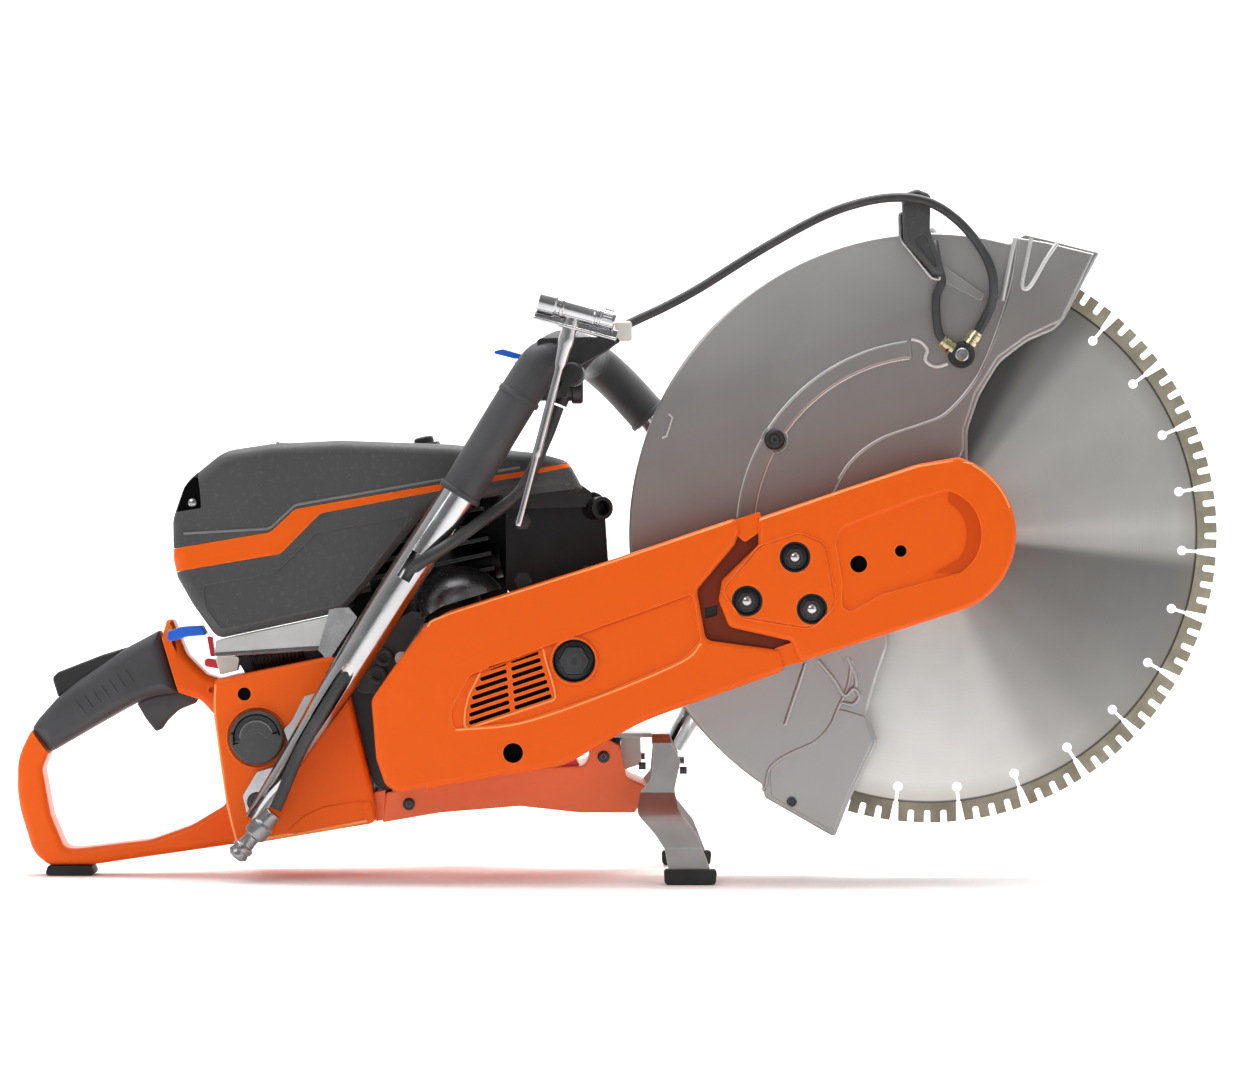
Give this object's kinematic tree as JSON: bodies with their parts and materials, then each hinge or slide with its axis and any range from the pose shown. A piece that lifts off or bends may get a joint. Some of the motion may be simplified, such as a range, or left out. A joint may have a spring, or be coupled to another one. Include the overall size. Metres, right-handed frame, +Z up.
{
  "type": "concrete cut-off saw",
  "caption": "Petrol cut-off saw for concrete with a large diamond blade, turning guard, belt drive, water feed, wrap-round front handle and front stand.",
  "frame": {"origin": "middle of the rear foot's underside, on the ground", "axes": "+X forwards towards the blade, +Y to the operator's left, +Z up"},
  "size_m": [0.8333, 0.2341, 0.4742],
  "materials": {
    "orange_plastic": "moulded orange plastic, satin gloss",
    "dark_orange_plastic": "moulded deep orange plastic",
    "grip_rubber": "soft textured charcoal grip",
    "foot_rubber": "black rubber",
    "black_plastic": "black moulded plastic",
    "charcoal_plastic": "charcoal moulded plastic, fine grain",
    "cast_aluminium": "die cast, fine blasted",
    "bright_steel": "plated and ground steel",
    "black_steel": "heat-resistant black",
    "dark_steel": "dark coated steel",
    "brushed_steel": "ground blade core with bonded rim",
    "guard_paint": "satin grey pressed metal",
    "brass": "turned brass",
    "blue_plastic": "bright blue plastic",
    "red_plastic": "red plastic",
    "filter_foam": "pleated filter"
  },
  "bodies": {
    "frame": {"rear_handle_tank": "orange_plastic", "rear_grip": "grip_rubber", "rear_foot": "foot_rubber", "crankcase_guard": "dark_orange_plastic", "crankcase": "cast_aluminium", "cylinder": "cast_aluminium", "main_bearing_right": "bright_steel", "main_bearing_left": "bright_steel", "muffler": "black_steel", "carburetor": "cast_aluminium", "spark_plug": "bright_steel", "top_cover": "charcoal_plastic", "cover_stripe": "orange_plastic", "filter_housing": "charcoal_plastic", "air_filter": "filter_foam", "carburetor_bracket": "cast_aluminium", "starter_housing": "orange_plastic", "drive_belt": "foot_rubber", "spindle_bearing": "bright_steel", "cutting_arm": "cast_aluminium", "bearing_head": "cast_aluminium", "rear_belt_cover": "orange_plastic", "front_belt_cover": "orange_plastic", "clamp_nuts": "dark_steel", "front_handle": "bright_steel", "front_handle_grip": "grip_rubber", "water_tap": "black_plastic", "water_hose_lower": "foot_rubber", "water_hose_upper": "foot_rubber", "hose_nipple": "bright_steel", "front_stand": "dark_steel", "stand_foot_right": "foot_rubber", "stand_foot_left": "foot_rubber"},
    "spindle": {"driven_pulley": "dark_steel", "spindle_shaft": "bright_steel", "inner_flange": "bright_steel", "outer_flange": "bright_steel", "blade_bolt": "dark_steel", "diamond_blade": "brushed_steel"},
    "crank": {"crankshaft_right": "bright_steel", "crankshaft_left": "bright_steel", "flywheel": "cast_aluminium", "clutch_hub": "dark_steel"},
    "drum": {"clutch_drum": "dark_steel"},
    "piston_group": {"piston": "cast_aluminium", "connecting_rod": "bright_steel"},
    "guard": {"blade_guard": "guard_paint", "guard_handle": "charcoal_plastic", "spray_fitting": "brass"},
    "trigger": {"throttle_trigger": "black_plastic"},
    "lockout": {"throttle_lockout": "black_plastic"},
    "cap": {"fuel_cap": "charcoal_plastic"},
    "choke": {"choke_lever": "blue_plastic"},
    "stop_button": {"stop_switch": "red_plastic"},
    "rope_pulley": {"starter_pulley": "black_plastic"},
    "pull_handle": {"starter_handle": "black_plastic"},
    "valve": {"decompression_valve": "black_plastic"},
    "wrench": {"combination_wrench": "bright_steel"},
    "tap": {"tap_lever": "blue_plastic"},
    "tensioner": {"belt_tensioner": "dark_steel"}
  },
  "joints": [
    {"name": "blade_spin", "type": "hinge", "parent": "frame", "child": "spindle", "pos_m": [0.5975, -0.0184, 0.237], "axis": [0, 1, 0], "continuous": true},
    {"name": "drum_spin", "type": "hinge", "parent": "frame", "child": "drum", "pos_m": [0.266, -0.07, 0.126], "axis": [0, 1, 0], "continuous": true},
    {"name": "crank_spin", "type": "hinge", "parent": "frame", "child": "crank", "pos_m": [0.266, 0, 0.126], "axis": [0, 1, 0], "continuous": true},
    {"name": "piston_stroke", "type": "slide", "parent": "frame", "child": "piston_group", "axis": [-0.2079, 0, 0.9781], "range_m": [-0.038, 0]},
    {"name": "guard_turn", "type": "hinge", "parent": "frame", "child": "guard", "pos_m": [0.5975, -0.0424, 0.237], "axis": [0, 1, 0], "range_deg": [-15, 30], "deforming": ["water_hose_upper"]},
    {"name": "trigger_pull", "type": "hinge", "parent": "frame", "child": "trigger", "pos_m": [0.084, 0, 0.124], "axis": [0, 1, 0], "range_deg": [0, 12]},
    {"name": "lockout_press", "type": "hinge", "parent": "frame", "child": "lockout", "pos_m": [0.038, 0, 0.153], "axis": [0, 1, 0], "range_deg": [-8, 0]},
    {"name": "fuel_cap_turn", "type": "hinge", "parent": "frame", "child": "cap", "pos_m": [0.1344, -0.058, 0.0978], "axis": [0, -1, 0], "range_deg": [0, 90]},
    {"name": "choke_pull", "type": "slide", "parent": "frame", "child": "choke", "axis": [-1, 0, 0], "range_m": [0, 0.012]},
    {"name": "stop_switch_tilt", "type": "hinge", "parent": "frame", "child": "stop_button", "pos_m": [0.104, -0.038, 0.147], "axis": [0, 1, 0], "range_deg": [-12, 12]},
    {"name": "starter_pull", "type": "slide", "parent": "frame", "child": "pull_handle", "axis": [-0.2005, 0.3008, 0.9324], "range_m": [0, 0.5]},
    {"name": "starter_pulley_spin", "type": "hinge", "parent": "frame", "child": "rope_pulley", "pos_m": [0.266, 0.0975, 0.126], "axis": [0, 1, 0], "continuous": true},
    {"name": "valve_press", "type": "slide", "parent": "frame", "child": "valve", "axis": [0.2079, 0, -0.9781], "range_m": [0, 0.004]},
    {"name": "wrench_lift", "type": "slide", "parent": "frame", "child": "wrench", "axis": [0.2494, 0, 0.9684], "range_m": [0, 0.16]},
    {"name": "tap_turn", "type": "hinge", "parent": "frame", "child": "tap", "pos_m": [0.3148, -0.06, 0.3566], "axis": [-0.1961, 0, 0.9806], "range_deg": [-90, 0]},
    {"name": "tensioner_turn", "type": "hinge", "parent": "frame", "child": "tensioner", "pos_m": [0.3521, -0.09, 0.1512], "axis": [0, 1, 0], "range_deg": [-180, 180]}
  ],
  "couplings": [
    {"joint": "drum_spin", "follows": "blade_spin", "ratio": 2},
    {"joint": "starter_pulley_spin", "follows": "starter_pull", "rad_per_m": 47.6}
  ]
}
